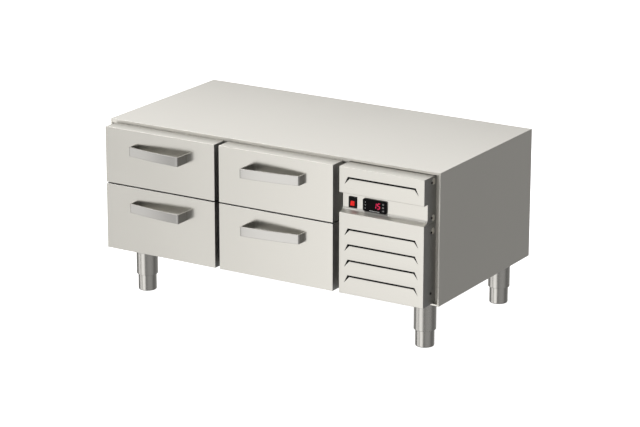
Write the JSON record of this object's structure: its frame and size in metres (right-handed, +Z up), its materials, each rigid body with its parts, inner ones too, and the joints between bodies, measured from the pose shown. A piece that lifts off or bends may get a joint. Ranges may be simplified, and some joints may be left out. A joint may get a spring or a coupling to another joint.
{
  "type": "under counter fridge",
  "caption": "Low refrigerated counter: two columns of drawers with bar handles beside a louvred machine compartment, under a flat steel worktop on adjustable legs.",
  "frame": {"origin": "on the floor, under the middle of the whole fridge with its handles", "axes": "+X to the machine compartment's end (the right, seen from the front), +Y to the back, +Z up"},
  "size_m": [1.2, 0.697, 0.576],
  "materials": {
    "brushed_steel": "satin",
    "foot_steel": "satin",
    "inner_steel": "satin",
    "galvanised_steel": "satin",
    "chamber_lining": "satin",
    "gasket_rubber": "matte",
    "black_plastic": "satin",
    "display_window": "gloss",
    "key_rubber": "satin",
    "red_lens": "gloss",
    "black_paint": "satin",
    "aluminium": "satin"
  },
  "bodies": {
    "cabinet": {"back_panel": "galvanised_steel", "base_panel": "brushed_steel", "cable_gland": "black_plastic", "cold_chamber": "chamber_lining", "compressor": "black_paint", "condenser_coil": "aluminium", "condenser_fan_shroud": "black_paint", "control_cover": "brushed_steel", "display_window": "display_window", "evaporator_coil": "aluminium", "evaporator_fan_motor": "galvanised_steel", "front_frame": "brushed_steel", "leg_front_left": "brushed_steel", "leg_front_right": "brushed_steel", "leg_rear_left": "brushed_steel", "leg_rear_right": "brushed_steel", "lower_grille": "brushed_steel", "runner_frame_left_inner": "galvanised_steel", "runner_frame_left_outer": "galvanised_steel", "runner_frame_right_inner": "galvanised_steel", "runner_frame_right_outer": "galvanised_steel", "side_panel_left": "brushed_steel", "side_panel_right": "brushed_steel", "switch_housing": "black_plastic", "thermostat_housing": "black_plastic", "worktop": "brushed_steel"},
    "drawer_upper_left": {"drawer_front_upper_left": "brushed_steel", "drawer_gasket_upper_left": "gasket_rubber", "drawer_handle_upper_left": "brushed_steel", "drawer_box_upper_left": "inner_steel"},
    "slides_upper_left": {"slide_member_upper_left_outer": "galvanised_steel", "slide_member_upper_left_inner": "galvanised_steel"},
    "drawer_lower_left": {"drawer_front_lower_left": "brushed_steel", "drawer_gasket_lower_left": "gasket_rubber", "drawer_handle_lower_left": "brushed_steel", "drawer_box_lower_left": "inner_steel"},
    "slides_lower_left": {"slide_member_lower_left_outer": "galvanised_steel", "slide_member_lower_left_inner": "galvanised_steel"},
    "drawer_upper_right": {"drawer_front_upper_right": "brushed_steel", "drawer_gasket_upper_right": "gasket_rubber", "drawer_handle_upper_right": "brushed_steel", "drawer_box_upper_right": "inner_steel"},
    "slides_upper_right": {"slide_member_upper_right_outer": "galvanised_steel", "slide_member_upper_right_inner": "galvanised_steel"},
    "drawer_lower_right": {"drawer_front_lower_right": "brushed_steel", "drawer_gasket_lower_right": "gasket_rubber", "drawer_handle_lower_right": "brushed_steel", "drawer_box_lower_right": "inner_steel"},
    "slides_lower_right": {"slide_member_lower_right_outer": "galvanised_steel", "slide_member_lower_right_inner": "galvanised_steel"},
    "foot_front_left": {"foot_front_left": "foot_steel"},
    "foot_front_right": {"foot_front_right": "foot_steel"},
    "foot_rear_left": {"foot_rear_left": "foot_steel"},
    "foot_rear_right": {"foot_rear_right": "foot_steel"},
    "switch_rocker": {"switch_rocker": "red_lens"},
    "key_up": {"key_up": "key_rubber"},
    "key_set": {"key_set": "key_rubber"},
    "key_down": {"key_down": "key_rubber"},
    "condenser_fan": {"condenser_fan": "black_plastic"},
    "evaporator_fan": {"evaporator_fan": "black_plastic"}
  },
  "joints": [
    {"name": "drawer_upper_left_pull", "type": "slide", "parent": "cabinet", "child": "drawer_upper_left", "axis": [0, -1, 0], "range_m": [0, 0.5]},
    {"name": "slides_upper_left_run", "type": "slide", "parent": "cabinet", "child": "slides_upper_left", "axis": [0, -1, 0], "range_m": [0, 0.25]},
    {"name": "drawer_lower_left_pull", "type": "slide", "parent": "cabinet", "child": "drawer_lower_left", "axis": [0, -1, 0], "range_m": [0, 0.5]},
    {"name": "slides_lower_left_run", "type": "slide", "parent": "cabinet", "child": "slides_lower_left", "axis": [0, -1, 0], "range_m": [0, 0.25]},
    {"name": "drawer_upper_right_pull", "type": "slide", "parent": "cabinet", "child": "drawer_upper_right", "axis": [0, -1, 0], "range_m": [0, 0.5]},
    {"name": "slides_upper_right_run", "type": "slide", "parent": "cabinet", "child": "slides_upper_right", "axis": [0, -1, 0], "range_m": [0, 0.25]},
    {"name": "drawer_lower_right_pull", "type": "slide", "parent": "cabinet", "child": "drawer_lower_right", "axis": [0, -1, 0], "range_m": [0, 0.5]},
    {"name": "slides_lower_right_run", "type": "slide", "parent": "cabinet", "child": "slides_lower_right", "axis": [0, -1, 0], "range_m": [0, 0.25]},
    {"name": "foot_front_left_height", "type": "slide", "parent": "cabinet", "child": "foot_front_left", "axis": [0, 0, -1], "range_m": [0, 0.03]},
    {"name": "foot_front_right_height", "type": "slide", "parent": "cabinet", "child": "foot_front_right", "axis": [0, 0, -1], "range_m": [0, 0.03]},
    {"name": "foot_rear_left_height", "type": "slide", "parent": "cabinet", "child": "foot_rear_left", "axis": [0, 0, -1], "range_m": [0, 0.03]},
    {"name": "foot_rear_right_height", "type": "slide", "parent": "cabinet", "child": "foot_rear_right", "axis": [0, 0, -1], "range_m": [0, 0.03]},
    {"name": "switch_rocker_tilt", "type": "hinge", "parent": "cabinet", "child": "switch_rocker", "pos_m": [0.321, -0.2803, 0.4525], "axis": [1, 0, 0], "range_deg": [0, 18]},
    {"name": "key_up_press", "type": "slide", "parent": "cabinet", "child": "key_up", "axis": [0, 1, 0], "range_m": [0, 0.0006], "stiffness_N_per_m": 500},
    {"name": "key_set_press", "type": "slide", "parent": "cabinet", "child": "key_set", "axis": [0, 1, 0], "range_m": [0, 0.0006], "stiffness_N_per_m": 500},
    {"name": "key_down_press", "type": "slide", "parent": "cabinet", "child": "key_down", "axis": [0, 1, 0], "range_m": [0, 0.0006], "stiffness_N_per_m": 500},
    {"name": "condenser_fan_spin", "type": "hinge", "parent": "cabinet", "child": "condenser_fan", "pos_m": [0.436, -0.1395, 0.29], "axis": [0, 1, 0], "continuous": true},
    {"name": "evaporator_fan_spin", "type": "hinge", "parent": "cabinet", "child": "evaporator_fan", "pos_m": [0.274, 0.234, 0.383], "axis": [1, 0, 0], "continuous": true}
  ],
  "couplings": [
    {"joint": "slides_upper_left_run", "follows": "drawer_upper_left_pull", "ratio": 0.5},
    {"joint": "slides_lower_left_run", "follows": "drawer_lower_left_pull", "ratio": 0.5},
    {"joint": "slides_upper_right_run", "follows": "drawer_upper_right_pull", "ratio": 0.5},
    {"joint": "slides_lower_right_run", "follows": "drawer_lower_right_pull", "ratio": 0.5}
  ]
}
